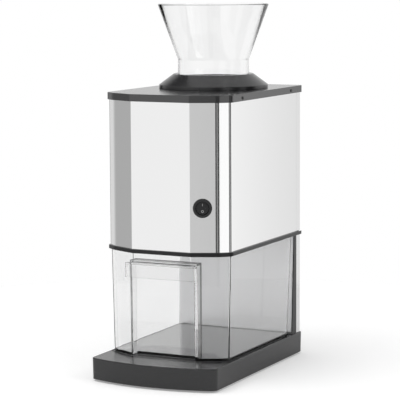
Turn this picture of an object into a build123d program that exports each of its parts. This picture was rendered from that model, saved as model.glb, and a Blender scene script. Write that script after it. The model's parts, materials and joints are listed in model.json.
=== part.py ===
"""Electric ice crusher: steel housing on a bowed base, clear ice hopper above, clear pull-out bin below.

Frame: +Z up, the front faces -Y, the origin is the middle of the footprint on the surface it stands on.
All sizes are in millimetres. The crusher's shafts run along X, all at one height.
"""

from build123d import *
from math import acos, cos, pi, radians, sin, tan
import os

# ---------------------------------------------------------------- overall
total_height = 467.0
skin = 1.0  # the housing's steel sheet
panel_gap = 0.2  # between neighbouring sheets
slip = 0.3  # between a piece that slides and what it passes
running = 0.06  # all round a shaft in its bearing
press = 0.03  # all round a pin, bush or gear that is fixed in or on something
face_gap = 0.2  # between a lifting piece and the face under it

# ---------------------------------------------------------------- base and feet
base_width = 173.0
base_depth = 286.0
base_height = 27.0
base_bow = 15.0  # how far the front edge bulges
base_corner = 9.0
base_edge = 1.2
base_draft = 1.2  # degrees, smaller at the foot
base_wall = 2.5
foot_height = 2.7
foot_radius = 11.0
foot_inset = 22.0  # from the base's sides
foot_front = 38.0  # from the base's front
foot_rear = 26.0  # from the base's rear
foot_stem = 3.0
sole_thick = 2.0
sole_sink = 0.4
foot_taper = 1.0
boss_radius = 6.0
small_screw = 1.5  # shank radius of the small screws
small_head = 2.9
head_thick = 1.6
screw_grip = 9.0  # how deep a screw bites
hole_spare = 1.0  # a blind hole goes on past its screw
channel_width = 1.8  # drip channel round the bin, just inside the housing's line
channel_deep = 1.0

# ---------------------------------------------------------------- housing outline, from above
side_margin = 2.0  # the base stands out past the housing's sides
front_margin = 39.6  # from the base's front to the middle facet of the housing
rear_margin = 5.0  # from the housing's rear to the base's rear
facet_reach = 44.1  # from the edge of the middle facet to the housing's side
facet_angle = 24.5  # how far the two side facets slant back, degrees
facet_width = 34.8
strip_angle = 38.7  # the narrow strips between the side facets and the sides, degrees
bend_radius = 28.0  # between a side facet and its strip
corner_radius = 6.6  # between a strip and the side
rear_corner = 2.5
rear_wrap = 13.6  # how far the rear cover comes round the sides

# ---------------------------------------------------------------- plate, posts and wall round the bin
bay_height = 131.8  # from the base's top to the plate's underside
plate_thick = 4.5
plate_lip = 2.2  # how far its edge stands out past the steel
post_width = 14.0
post_top_depth = 7.0  # how much of the post shows at its top
post_lean = 3.15  # degrees, foot forward
wall_thick = 1.0
rear_screw_low = 14.0  # above the base
rear_screw_middle = 8.0  # under the plate
rear_screw_high = 6.0  # under the lid's rim
rear_screw_head = 1.2

# ---------------------------------------------------------------- lid
housing_height = 193.0  # from the plate's top to the lid's top
lid_thick = 1.5
lid_rim = 9.0
lid_overhang = 2.2
lid_edge = 0.7
lid_screw_front = 30.1  # behind the start of the straight side
lid_screw_rear = 22.7  # ahead of the rear cover's seam
lid_screw_radius = 2.2
lid_screw_head = 0.9
lid_screw_tail = 1.0

# ---------------------------------------------------------------- hopper, collar and seal
hopper_rear = 89.0  # from the housing's rear to the hopper's axis
hopper_wall = 2.5
hopper_rim_radius = 72.2
hopper_neck_radius = 46.0
hopper_waist = 36.8  # above the lid
collar_radius = 70.4
collar_edge = 4.2
collar_top_radius = 51.6
collar_height = 18.0
collar_wall = 3.0
collar_round = 1.2
throat_radius = 44.0  # the hole in the lid
throat_rim = 2.2
spigot_wall = 2.0
spigot_drop = 7.5
ledge_thick = 2.5
seal_radius = 64.0
seal_width = 4.0
seal_thick = 2.2
peg_radius = 1.8
peg_at = 50.0  # from the hopper's axis

# ---------------------------------------------------------------- crusher
duct_half_x = 42.0
duct_half_y = 38.0
duct_wall = 3.5
duct_flange = 8.0
duct_flange_thick = 2.5
seat_thick = 2.5
rotor_drop = 59.0  # under the lid's top
blade_radius = 34.0
blade_thick = 4.0
blade_pitch = 14.0
blade_count = 5
blade_teeth = 4
blade_root = 13.0
blade_hook = 7.0
hex_flats = 12.0
spacer_wall = 1.2
hex_gap = 1.0  # from the hexagon's ends to the duct
journal_radius = 5.0
shaft_end = 5.0
bush_wall = 3.0
bush_flange = 3.0
bush_flange_thick = 1.5
comb_thick = 4.0
comb_height = 14.0
comb_plate = 2.5
comb_gap = 1.3

# ---------------------------------------------------------------- gears
slow_module = 1.5
fast_module = 1.0
rotor_teeth = 48
slow_teeth = 12
fast_teeth = 60
motor_teeth = 12
pressure_angle = 25.0
backlash = 0.3
drive_plate_thick = 2.5
slow_width = 10.0
fast_width = 6.0
side_gap = 1.5
axle_radius = 3.0
clip_wall = 3.0
clip_mouth = 3.0
gear_cover_wall = 2.0
gear_cover_gap = 3.0
gear_cover_round = 6.0

# ---------------------------------------------------------------- motor
motor_radius = 28.0
motor_length = 72.0
can_wall = 2.0
bell_thick = 4.0
motor_shaft_radius = 3.0
core_radius = 17.0
core_length = 30.0
core_slots = 10
air_gap = 1.0
coil_length = 7.0
commutator_radius = 7.0
brush_gap = 0.4
fan_radius = 20.0
fan_blades = 9
fan_thick = 1.6
cradle_width = 12.0
cradle_depth = 30.0

# ---------------------------------------------------------------- switch
switch_out = 13.95  # from the edge of the middle facet
switch_rise = 59.6  # above the plate's underside
bezel_radius = 11.85
bezel_thick = 2.2
bezel_round = 1.2
barrel_radius = 10.0
barrel_depth = 18.0
rocker_radius = 7.8
rocker_gap = 0.7
rocker_deep = 6.0
rocker_tilt = 9.0  # degrees at rest, with its upper half pressed in
rocker_sink = 1.0
rocker_inset = 0.4
ridge_width = 1.0
ridge_height = 0.4
trunnion_radius = 0.8
tag_length = 8.0
tag_width = 6.3
tag_thick = 0.8

# ---------------------------------------------------------------- safety switch, cord bushing, terminals
safety_width = 11.0
safety_depth = 28.0
safety_height = 16.0
safety_drop = 25.0  # under the lid's top
plunger_radius = 1.6
plunger_reach = 9.0
plunger_travel = 1.5
bushing_side = 32.5  # from the housing's side
bushing_rise = 30.0  # above the plate's top
bushing_radius = 7.0
bushing_flange = 3.0
bushing_flange_thick = 2.0
bushing_depth = 10.0
cord_hole = 3.6
vent_count = 7
vent_length = 46.0
vent_width = 3.5
vent_pitch = 9.0
vent_drop = 74.0  # under the lid's top
terminal_side = 6.75  # from the steel sheet
terminal_rear = 28.6  # from the housing's rear
terminal_width = 18.0
terminal_pitch = 6.4
terminal_height = 15.0
terminal_ways = 3

# ---------------------------------------------------------------- bin
bin_side_gap = 1.4  # inside the steel's line, at the top
bin_draft = 1.1  # degrees, smaller at the floor
bin_wall = 2.4
bin_floor = 3.0
bin_top_gap = 0.8
bin_under_gap = 0.4
bin_rear_gap = 1.5
bin_rear_corner = 7.0
recess_beyond = 3.0  # past the edges of the middle facet
recess_depth = 17.0
recess_drop = 12.5  # under the plate
grip_beyond = 5.5  # past the recess on each side
grip_height = 18.0
grip_reach = 4.5
grip_wall = 1.8

os.makedirs("parts", exist_ok=True)

# Worked out from the sizes above.
base_top_z = foot_height + base_height
base_front_y = -base_depth / 2
base_rear_y = base_depth / 2
body_width = base_width - 2 * side_margin
body_rear_y = base_rear_y - rear_margin
facet_y = base_front_y + front_margin
facet_half = body_width / 2 - facet_reach  # half the flat middle facet of the front
hopper_y = body_rear_y - hopper_rear
plate_z = base_top_z + bay_height
steel_z = plate_z + plate_thick
lid_top_z = steel_z + housing_height
lid_under_z = lid_top_z - lid_thick
panel_top_z = lid_under_z - panel_gap
side_x = body_width / 2
seam_y = body_rear_y - rear_wrap
facet_end_x = facet_half + facet_width * cos(radians(facet_angle))
facet_end_y = facet_y + facet_width * sin(radians(facet_angle))
strip_end_y = facet_end_y + (side_x - facet_end_x) * tan(radians(strip_angle))
inner_rear_y = body_rear_y - skin - panel_gap
lid_screw_y = (strip_end_y + lid_screw_front, seam_y - lid_screw_rear)
hopper_waist_z = lid_top_z + hopper_waist
rotor_z = lid_top_z - rotor_drop
switch_x = facet_half + switch_out
switch_z = plate_z + switch_rise
safety_top_z = lid_top_z - safety_drop
bushing_x = -side_x + bushing_side
bushing_z = steel_z + bushing_rise
vent_z = lid_top_z - vent_drop
terminal_x = -side_x + skin + terminal_side + terminal_width / 2
terminal_y = body_rear_y - terminal_rear
recess_half = facet_half + recess_beyond
recess_top_z = plate_z - recess_drop
grip_half = recess_half + grip_beyond
UP = (Align.CENTER, Align.CENTER, Align.MIN)
DOWN = (Align.CENTER, Align.CENTER, Align.MAX)


def write(piece, name):
    """Labels a finished piece and writes its STEP file."""
    piece.part.label = name
    export_step(piece.part, f"parts/{name}.step")


def body_outline(grow=0.0):
    """The housing from above: three front facets, a strip at each corner, straight sides and back."""
    with BuildSketch() as outline:
        with BuildLine():
            Polyline(
                (0, facet_y),
                (facet_half, facet_y),
                (facet_end_x, facet_end_y),
                (side_x, strip_end_y),
                (side_x, body_rear_y),
                (0, body_rear_y),
            )
            mirror(about=Plane.YZ)
        make_face()
        for y, radius in (
            (facet_end_y, bend_radius),
            (strip_end_y, corner_radius),
            (body_rear_y, rear_corner),
        ):
            row = outline.vertices().filter_by(lambda corner: abs(corner.Y - y) < 0.01)
            fillet(row.filter_by(lambda corner: abs(corner.X) > facet_half), radius)
        if grow:
            offset(amount=grow, kind=Kind.INTERSECTION)
    return outline.sketch


def base_outline(shrink=0.0):
    """The base from above: straight back and sides, and a front edge bowed forward."""
    half = base_width / 2
    shoulder_y = base_front_y + base_bow
    with BuildSketch() as outline:
        with BuildLine():
            ThreePointArc((-half, shoulder_y), (0, base_front_y), (half, shoulder_y))
            Polyline((half, shoulder_y), (half, base_rear_y), (-half, base_rear_y), (-half, shoulder_y))
        make_face()
        fillet(outline.vertices(), base_corner)
        if shrink:
            offset(amount=-shrink, kind=Kind.INTERSECTION)
    return outline.sketch


def axis_plane(x, y):
    """A plane square to a shaft: its local x is +Y, its local y is +Z, and it is centred on the shaft."""
    return Plane(origin=(x, y, rotor_z), x_dir=(0, 1, 0), z_dir=(1, 0, 0))


def rear_plane(y):
    """A plane that faces out of the back."""
    return Plane(origin=(0, y, 0), x_dir=(-1, 0, 0), z_dir=(0, 1, 0))


# ================================================================ base
foot_x = base_width / 2 - foot_inset
foot_places = [
    (-foot_x, base_front_y + foot_front),
    (foot_x, base_front_y + foot_front),
    (-foot_x, base_rear_y - foot_rear),
    (foot_x, base_rear_y - foot_rear),
]
post_x = side_x - skin - panel_gap - post_width / 2
post_foot_y = inner_rear_y - post_width / 2
post_places = [(-post_x, post_foot_y), (post_x, post_foot_y)]
sole_z = foot_height + sole_sink
boss_z = sole_z + sole_thick

with BuildPart() as base:
    with BuildSketch(Plane.XY.offset(foot_height)):
        add(base_outline(base_height * tan(radians(base_draft))))
    extrude(amount=base_height, taper=-base_draft)
    fillet(base.faces().sort_by(Axis.Z)[-1].edges(), base_edge)
    with BuildSketch(Plane.XY.offset(foot_height)):
        add(base_outline(base_wall + base_edge))
    extrude(amount=base_height - base_wall, mode=Mode.SUBTRACT)
    with BuildSketch(Plane.XY.offset(boss_z)):
        with Locations(*foot_places, *post_places):
            Circle(boss_radius)
    extrude(amount=base_top_z - base_wall - boss_z)
    with Locations(*[(x, y, boss_z) for x, y in foot_places]):
        Cylinder(small_screw + press, screw_grip + hole_spare, align=UP, mode=Mode.SUBTRACT)
    with Locations(*[(x, y, boss_z) for x, y in post_places]):
        Cylinder(small_screw + press, base_height, align=UP, mode=Mode.SUBTRACT)
    # the drip channel runs round the bin's floor and is open behind it
    with BuildSketch(Plane.XY.offset(base_top_z)):
        add(body_outline())
        add(body_outline(-channel_width), mode=Mode.SUBTRACT)
        with Locations((0, base_rear_y)):
            Rectangle(base_width, 2 * (base_rear_y - seam_y + 2 * post_width), mode=Mode.SUBTRACT)
    extrude(amount=-channel_deep, mode=Mode.SUBTRACT)
write(base, "base")

with BuildPart() as sole_plate:
    with BuildSketch(Plane.XY.offset(sole_z)):
        add(base_outline(base_wall + base_edge + slip))
        with Locations(*foot_places):
            Circle(foot_stem + press, mode=Mode.SUBTRACT)
        with Locations(*post_places):
            Circle(small_head + 2 * slip, mode=Mode.SUBTRACT)
    extrude(amount=sole_thick)
write(sole_plate, "sole_plate")

with BuildPart() as rubber_feet:
    with Locations(*foot_places):
        Cone(foot_radius - foot_taper, foot_radius, sole_z, align=UP)
        Cylinder(foot_stem, boss_z, align=UP)
        Cylinder(small_screw + press, boss_z, align=UP, mode=Mode.SUBTRACT)
        Cylinder(small_head + press, head_thick + sole_sink, align=UP, mode=Mode.SUBTRACT)
write(rubber_feet, "rubber_feet")

with BuildPart() as foot_screws:
    with Locations(*[(x, y, sole_sink) for x, y in foot_places]):
        Cylinder(small_head, head_thick, align=UP)
        Cylinder(small_screw, boss_z - sole_sink + screw_grip, align=UP)
write(foot_screws, "foot_screws")

# ================================================================ plate, posts and wall round the bin
duct_out_x = duct_half_x + duct_wall
duct_out_y = duct_half_y + duct_wall
flange_x = duct_out_x + duct_flange
flange_y = duct_out_y + duct_flange
flange_screws = [
    (sx * (flange_x - duct_flange / 2), hopper_y + sy * (flange_y - duct_flange / 2))
    for sx in (-1, 1)
    for sy in (-1, 1)
]
cover_step = skin + panel_gap  # what lies behind the rear cover's sheet


def post_front(z, ahead=0.0):
    """A point, as (y, z), on the posts' leaning front or that far ahead of it."""
    return (seam_y - post_top_depth - ahead - (plate_z - z) * tan(radians(post_lean)), z)


def rear_skirt():
    """The strip outside the inner face of the rear cover, seen from above."""
    with BuildSketch() as strip:
        with Locations((0, seam_y - panel_gap)):
            Rectangle(base_width, base_depth, align=(Align.CENTER, Align.MIN))
        add(body_outline(-cover_step), mode=Mode.SUBTRACT)
    return strip.sketch


rear_screw_x = post_x
rear_screw_z = (
    base_top_z + rear_screw_low,
    plate_z - rear_screw_middle,
    lid_under_z - lid_rim - rear_screw_high,
)

with BuildPart() as bay_frame:
    with BuildSketch(Plane.XY.offset(plate_z)):
        add(body_outline(plate_lip))
        with Locations((0, hopper_y)):
            Rectangle(2 * duct_half_x, 2 * duct_half_y, mode=Mode.SUBTRACT)
        with Locations(*flange_screws):
            Circle(small_screw + press, mode=Mode.SUBTRACT)
    extrude(amount=plate_thick)
    for side in (-1, 1):
        with BuildSketch(Plane.YZ.offset(side * (post_x - post_width / 2))):
            with BuildLine():
                Polyline(
                    post_front(base_top_z),
                    post_front(plate_z),
                    (inner_rear_y, plate_z),
                    (inner_rear_y, base_top_z),
                    close=True,
                )
            make_face()
        extrude(amount=side * (side_x - post_x + post_width / 2))
    # the rear cover wraps round the plate's and the posts' back
    with BuildSketch(Plane.XY.offset(base_top_z)):
        add(rear_skirt())
    extrude(amount=steel_z - base_top_z, mode=Mode.SUBTRACT)
    with Locations(*[(x, y, base_top_z) for x, y in post_places]):
        Cylinder(small_screw + press, screw_grip + hole_spare, align=UP, mode=Mode.SUBTRACT)
    for z in rear_screw_z[:2]:
        with BuildSketch(rear_plane(inner_rear_y)):
            with Locations((-rear_screw_x, z), (rear_screw_x, z)):
                Circle(small_screw + press)
        extrude(amount=-screw_grip, mode=Mode.SUBTRACT)
write(bay_frame, "bay_frame")

with BuildPart() as post_screws:
    for x, y in post_places:
        with Locations((x, y, boss_z - head_thick)):
            Cylinder(small_head, head_thick, align=UP)
            Cylinder(small_screw, head_thick + base_top_z - boss_z + screw_grip, align=UP)
write(post_screws, "post_screws")

with BuildPart() as bay_wall:
    with BuildSketch(Plane.YZ):
        with BuildLine():
            Polyline(
                post_front(base_top_z + panel_gap, wall_thick),
                post_front(plate_z - panel_gap, wall_thick),
                post_front(plate_z - panel_gap),
                post_front(base_top_z + panel_gap),
                close=True,
            )
        make_face()
    extrude(amount=side_x - skin, both=True)
write(bay_wall, "bay_wall")

# ================================================================ steel housing
steel_corner_y = seam_y - panel_gap
with BuildPart() as steel_wrap:
    with BuildSketch(Plane.XY.offset(steel_z)):
        add(body_outline())
        add(body_outline(-skin), mode=Mode.SUBTRACT)
        with Locations((0, base_rear_y + steel_corner_y)):
            Rectangle(base_width, 2 * base_rear_y, mode=Mode.SUBTRACT)
    extrude(amount=panel_top_z - steel_z)
    switch_y = facet_y + (switch_x - facet_half) * tan(radians(facet_angle))
    switch_plane = Plane(
        origin=(switch_x, switch_y, switch_z),
        x_dir=(cos(radians(facet_angle)), sin(radians(facet_angle)), 0),
        z_dir=(sin(radians(facet_angle)), -cos(radians(facet_angle)), 0),
    )
    with BuildSketch(switch_plane):
        Circle(barrel_radius + press)
    extrude(amount=-3 * skin, mode=Mode.SUBTRACT)
    lid_screw_z = lid_top_z - (lid_thick + lid_rim) / 2
    with BuildSketch(Plane.YZ.offset(-side_x)):
        with Locations(*[(y, lid_screw_z) for y in lid_screw_y]):
            Circle(small_screw + press)
    extrude(amount=body_width, mode=Mode.SUBTRACT)
write(steel_wrap, "steel_wrap")

with BuildPart() as rear_cover:
    with BuildSketch(Plane.XY.offset(base_top_z + panel_gap)):
        add(body_outline())
        add(body_outline(-skin), mode=Mode.SUBTRACT)
        with Locations((0, seam_y - base_depth)):
            Rectangle(base_width, 2 * base_depth, mode=Mode.SUBTRACT)
    extrude(amount=panel_top_z - base_top_z - panel_gap)
    with BuildSketch(rear_plane(body_rear_y)):
        for i in range(vent_count):
            with Locations((0, vent_z + (i - (vent_count - 1) / 2) * vent_pitch)):
                SlotOverall(vent_length, vent_width)
        with Locations((-bushing_x, bushing_z)):
            Circle(bushing_radius + press)
        for z in rear_screw_z:
            with Locations((-rear_screw_x, z), (rear_screw_x, z)):
                Circle(small_screw + press)
    extrude(amount=-2 * skin, mode=Mode.SUBTRACT)
write(rear_cover, "rear_cover")

with BuildPart() as corner_rails:
    with BuildSketch(Plane.XY.offset(steel_z)):
        with Locations(*post_places):
            Rectangle(post_width, post_width)
        add(body_outline(-cover_step), mode=Mode.INTERSECT)
    extrude(amount=lid_under_z - steel_z)
    with BuildSketch(rear_plane(inner_rear_y)):
        with Locations((-rear_screw_x, rear_screw_z[2]), (rear_screw_x, rear_screw_z[2])):
            Circle(small_screw + press)
    extrude(amount=-screw_grip, mode=Mode.SUBTRACT)
write(corner_rails, "corner_rails")

with BuildPart() as rear_screws:
    for z in rear_screw_z:
        with BuildSketch(rear_plane(body_rear_y)):
            with Locations((-rear_screw_x, z), (rear_screw_x, z)):
                Circle(small_head)
        extrude(amount=rear_screw_head)
        with BuildSketch(rear_plane(body_rear_y)):
            with Locations((-rear_screw_x, z), (rear_screw_x, z)):
                Circle(small_screw)
        extrude(amount=-screw_grip)
write(rear_screws, "rear_screws")

# ================================================================ lid
with BuildPart() as lid:
    with BuildSketch(Plane.XY.offset(lid_top_z - lid_rim)):
        add(body_outline(lid_overhang))
    extrude(amount=lid_rim)
    fillet(lid.faces().sort_by(Axis.Z)[-1].edges(), lid_edge)
    with BuildSketch(Plane.XY.offset(lid_top_z - lid_rim)):
        add(body_outline(panel_gap))
    extrude(amount=lid_rim - lid_thick, mode=Mode.SUBTRACT)
    with BuildSketch(Plane.XY.offset(lid_top_z)):
        with Locations((0, hopper_y)):
            Circle(throat_radius)
        with Locations((-peg_at, hopper_y)):
            Circle(peg_radius + 2 * slip)
    extrude(amount=-lid_thick, mode=Mode.SUBTRACT)
    with BuildSketch(Plane.YZ.offset(-side_x - lid_overhang)):
        with Locations(*[(y, lid_screw_z) for y in lid_screw_y]):
            Circle(small_screw + press)
    extrude(amount=body_width + 2 * lid_overhang, mode=Mode.SUBTRACT)
write(lid, "lid")

with BuildPart() as lid_screws:
    for side in (-1, 1):
        with BuildSketch(Plane.YZ.offset(side * (side_x + lid_overhang))):
            with Locations(*[(y, lid_screw_z) for y in lid_screw_y]):
                Circle(lid_screw_radius)
        extrude(amount=side * lid_screw_head)
        with BuildSketch(Plane.YZ.offset(side * (side_x + lid_overhang))):
            with Locations(*[(y, lid_screw_z) for y in lid_screw_y]):
                Circle(small_screw)
        extrude(amount=-side * (lid_overhang + skin + lid_screw_tail))
write(lid_screws, "lid_screws")

# ================================================================ hopper, collar and seal
hopper_line = Axis((0, hopper_y, 0), (0, 0, 1))
hopper_plane = Plane.XZ.offset(-hopper_y)
collar_z = lid_top_z + face_gap
collar_top_z = collar_z + collar_height
spigot_radius = throat_radius - slip
ledge_z = collar_z + collar_edge + ledge_thick

with BuildPart() as hopper_collar:
    with BuildSketch(hopper_plane):
        with BuildLine():
            Polyline(
                (hopper_neck_radius + press, ledge_z),
                (hopper_neck_radius + press, collar_top_z),
                (collar_top_radius, collar_top_z),
                (collar_radius, collar_z + collar_edge),
                (collar_radius, collar_z),
                (seal_radius + seal_width, collar_z),
                (seal_radius + seal_width, collar_z + seal_thick),
                (seal_radius, collar_z + seal_thick),
                (seal_radius, collar_z),
                (seal_radius - collar_wall, collar_z),
                (seal_radius - collar_wall, collar_z + collar_edge),
                (collar_top_radius, collar_top_z - 2 * collar_wall),
                (throat_radius + collar_wall, ledge_z),
                (throat_radius + collar_wall, collar_z),
                (spigot_radius, collar_z),
                (spigot_radius, lid_top_z - spigot_drop),
                (spigot_radius - spigot_wall, lid_top_z - spigot_drop),
                (spigot_radius - spigot_wall, ledge_z),
                close=True,
            )
        make_face()
    revolve(axis=hopper_line)
    rims = hopper_collar.edges().filter_by(GeomType.CIRCLE).sort_by(SortBy.RADIUS)[-4:]
    fillet(rims.sort_by(Axis.Z)[-1], collar_round)
    # the peg that works the safety switch through the lid
    peg_low_z = safety_top_z + plunger_reach + slip
    with Locations((-peg_at, hopper_y, peg_low_z)):
        Cylinder(peg_radius, collar_top_z - collar_wall - peg_low_z, align=UP)
write(hopper_collar, "hopper_collar")

with BuildPart() as hopper:
    with BuildSketch(hopper_plane):
        with BuildLine():
            Polyline(
                (hopper_neck_radius, ledge_z),
                (hopper_neck_radius, hopper_waist_z),
                (hopper_rim_radius, total_height),
                (hopper_rim_radius - hopper_wall, total_height),
                (hopper_neck_radius - hopper_wall, hopper_waist_z),
                (hopper_neck_radius - hopper_wall, ledge_z),
                close=True,
            )
        make_face()
    revolve(axis=hopper_line)
    fillet(hopper.edges().filter_by(GeomType.CIRCLE).group_by(Axis.Z)[-1], hopper_wall / 3)
write(hopper, "hopper")

with BuildPart() as hopper_seal:
    with BuildSketch(Plane.XY.offset(lid_top_z + face_gap)):
        with Locations((0, hopper_y)):
            Circle(seal_radius + seal_width - press)
            Circle(seal_radius + press, mode=Mode.SUBTRACT)
    extrude(amount=seal_thick)
write(hopper_seal, "hopper_seal")

# ================================================================ crusher
duct_top_z = lid_under_z - spigot_drop - seat_thick
with BuildPart() as throat_seat:
    with BuildSketch(Plane.XY.offset(duct_top_z)):
        with Locations((0, hopper_y)):
            Rectangle(2 * duct_out_x, 2 * duct_out_y)
            Circle(throat_radius + throat_rim)
            Circle(throat_radius, mode=Mode.SUBTRACT)
    extrude(amount=seat_thick)
    with BuildSketch(Plane.XY.offset(duct_top_z)):
        with Locations((0, hopper_y)):
            Circle(throat_radius + throat_rim)
            Circle(throat_radius, mode=Mode.SUBTRACT)
    extrude(amount=lid_under_z - duct_top_z)
write(throat_seat, "throat_seat")

bush_radius = journal_radius + bush_wall
with BuildPart() as crusher_duct:
    with BuildSketch(Plane.XY.offset(steel_z)):
        with Locations((0, hopper_y)):
            Rectangle(2 * duct_out_x, 2 * duct_out_y)
            Rectangle(2 * duct_half_x, 2 * duct_half_y, mode=Mode.SUBTRACT)
    extrude(amount=duct_top_z - steel_z)
    with BuildSketch(Plane.XY.offset(steel_z)):
        with Locations((0, hopper_y)):
            Rectangle(2 * flange_x, 2 * flange_y)
            Rectangle(2 * duct_half_x, 2 * duct_half_y, mode=Mode.SUBTRACT)
        with Locations(*flange_screws):
            Circle(small_screw + press, mode=Mode.SUBTRACT)
    extrude(amount=duct_flange_thick)
    with BuildSketch(axis_plane(-duct_out_x, hopper_y)):
        Circle(bush_radius + press)
    extrude(amount=2 * duct_out_x, mode=Mode.SUBTRACT)
write(crusher_duct, "crusher_duct")

with BuildPart() as duct_screws:
    for x, y in flange_screws:
        with Locations((x, y, steel_z + duct_flange_thick)):
            Cylinder(small_head, head_thick, align=UP)
            Cylinder(small_screw, duct_flange_thick + plate_thick - slip, align=DOWN)
write(duct_screws, "duct_screws")

spacer_radius = hex_flats / 2 / cos(pi / 6) + spacer_wall


def comb(side):
    """A row of fixed fingers between the blades; side is -1 for the front wall and 1 for the rear one."""
    wall_y = hopper_y + side * duct_half_y
    reach = duct_half_y - spacer_radius - comb_gap
    with BuildPart() as piece:
        with Locations((0, wall_y - side * comb_plate / 2, rotor_z)):
            Box(blade_count * blade_pitch + 2 * comb_thick, comb_plate, comb_height)
        for i in range(blade_count + 1):
            with Locations(((i - blade_count / 2) * blade_pitch, wall_y - side * reach / 2, rotor_z)):
                Box(comb_thick, reach, comb_height)
    return piece


comb_front = comb(-1)
write(comb_front, "comb_front")
comb_rear = comb(1)
write(comb_rear, "comb_rear")

slow_gear_x = duct_out_x + drive_plate_thick + side_gap
fast_gear_x = slow_gear_x + slow_width + side_gap
gear_end_x = fast_gear_x + fast_width
hex_half = duct_half_x - hex_gap

with BuildPart() as rotor_shaft:
    with BuildSketch(axis_plane(-hex_half, hopper_y)):
        RegularPolygon(hex_flats / 2, 6, major_radius=False)
    extrude(amount=2 * hex_half)
    with BuildSketch(axis_plane(-duct_out_x - shaft_end, hopper_y)):
        Circle(journal_radius)
    extrude(amount=duct_out_x + shaft_end + slow_gear_x + slow_width + side_gap - slip)
write(rotor_shaft, "rotor_shaft")


def polar(radius, angle):
    """A point by its distance from the shaft and its angle in degrees."""
    return (radius * cos(radians(angle)), radius * sin(radians(angle)))


def blade_profile():
    """A hub with hooked teeth, bored for the hexagonal shaft."""
    with BuildSketch() as profile:
        Circle(blade_root)
        for i in range(blade_teeth):
            start = i * 360 / blade_teeth
            with BuildLine():
                Polyline(
                    polar(0.9 * blade_root, start - 50),
                    polar(blade_radius - blade_hook, start - 6),
                    polar(blade_radius, start + 12),
                    polar(blade_root + blade_hook / 2, start + 14),
                    polar(0.9 * blade_root, start + 40),
                    (0, 0),
                    close=True,
                )
            make_face()
        RegularPolygon(hex_flats / 2 + press, 6, major_radius=False, mode=Mode.SUBTRACT)
    return profile.sketch


with BuildPart() as crusher_blades:
    for i in range(blade_count):
        x = (i - (blade_count - 1) / 2) * blade_pitch - blade_thick / 2
        with BuildSketch(axis_plane(x, hopper_y)):
            # the hexagon lets each blade sit a sixth of a turn on from the last
            add(blade_profile(), rotation=i * 60)
        extrude(amount=blade_thick)
write(crusher_blades, "crusher_blades")

with BuildPart() as blade_spacers:
    spacer_length = blade_pitch - blade_thick - 2 * press
    for i in range(blade_count + 1):
        low = max((i - blade_count / 2) * blade_pitch - spacer_length / 2, -hex_half)
        high = min((i - blade_count / 2) * blade_pitch + spacer_length / 2, hex_half)
        with BuildSketch(axis_plane(low, hopper_y)):
            Circle(spacer_radius)
            RegularPolygon(hex_flats / 2 + press, 6, major_radius=False, mode=Mode.SUBTRACT)
        extrude(amount=high - low)
write(blade_spacers, "blade_spacers")

with BuildPart() as bearing_right:
    with BuildSketch(axis_plane(duct_half_x, hopper_y)):
        Circle(bush_radius)
        Circle(journal_radius + running, mode=Mode.SUBTRACT)
    extrude(amount=slow_gear_x - side_gap / 2 - duct_half_x)
write(bearing_right, "bearing_right")

with BuildPart() as bearing_left:
    with BuildSketch(axis_plane(-duct_half_x, hopper_y)):
        Circle(bush_radius)
        Circle(journal_radius + running, mode=Mode.SUBTRACT)
    extrude(amount=-duct_wall)
    with BuildSketch(axis_plane(-duct_out_x, hopper_y)):
        Circle(bush_radius + bush_flange)
        Circle(journal_radius + running, mode=Mode.SUBTRACT)
    extrude(amount=-bush_flange_thick)
write(bearing_left, "bearing_left")


# ================================================================ gears
def involute(base_radius, radius):
    """How far round an involute from base_radius has swung when it reaches radius, in radians."""
    angle = acos(min(base_radius / radius, 1.0))
    return tan(angle) - angle


def gear_face(module, teeth, bore, turn=0.0):
    """An involute spur gear, with one tooth centred turn degrees from the local x axis."""
    pitch_radius = module * teeth / 2
    base_radius = pitch_radius * cos(radians(pressure_angle))
    tip_radius = pitch_radius + 0.9 * module
    root_radius = pitch_radius - 1.2 * module
    half_base = pi / (2 * teeth) - backlash / (4 * pitch_radius) + involute(base_radius, pitch_radius)
    start = max(base_radius, root_radius)
    flank = [start + (tip_radius - start) * step / 3 for step in range(4)]
    side = [(radius, half_base - involute(base_radius, radius)) for radius in flank]
    if root_radius < base_radius:
        side.insert(0, (root_radius, half_base))
    points = []
    for i in range(teeth):
        middle = radians(turn + 360 * i / teeth)
        turned = [(radius, middle - swing) for radius, swing in side]
        turned += [(radius, middle + swing) for radius, swing in side[::-1]]
        points += [(radius * cos(angle), radius * sin(angle)) for radius, angle in turned]
    with BuildSketch() as face:
        with BuildLine():
            Polyline(*points, close=True)
        make_face()
        Circle(bore, mode=Mode.SUBTRACT)
    return face.sketch


rotor_gear_radius = slow_module * rotor_teeth / 2
fast_gear_radius = fast_module * fast_teeth / 2
slow_pinion_radius = slow_module * slow_teeth / 2
axle_y = hopper_y - rotor_gear_radius - slow_pinion_radius
motor_y = axle_y - fast_gear_radius - fast_module * motor_teeth / 2

with BuildPart() as rotor_gear:
    with BuildSketch(axis_plane(slow_gear_x, hopper_y)):
        add(gear_face(slow_module, rotor_teeth, journal_radius + press))
        with PolarLocations(rotor_gear_radius * 0.57, 6):
            Circle(rotor_gear_radius * 0.18, mode=Mode.SUBTRACT)
    extrude(amount=slow_width)
write(rotor_gear, "rotor_gear")

with BuildPart() as shaft_clip:
    with BuildSketch(axis_plane(slow_gear_x + slow_width + press, hopper_y)):
        Circle(journal_radius + clip_wall)
        Circle(journal_radius + press, mode=Mode.SUBTRACT)
        with Locations((journal_radius + clip_wall / 2, 0)):
            Rectangle(2 * clip_wall, clip_mouth, mode=Mode.SUBTRACT)
    extrude(amount=side_gap - 2 * slip)
write(shaft_clip, "shaft_clip")

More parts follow.
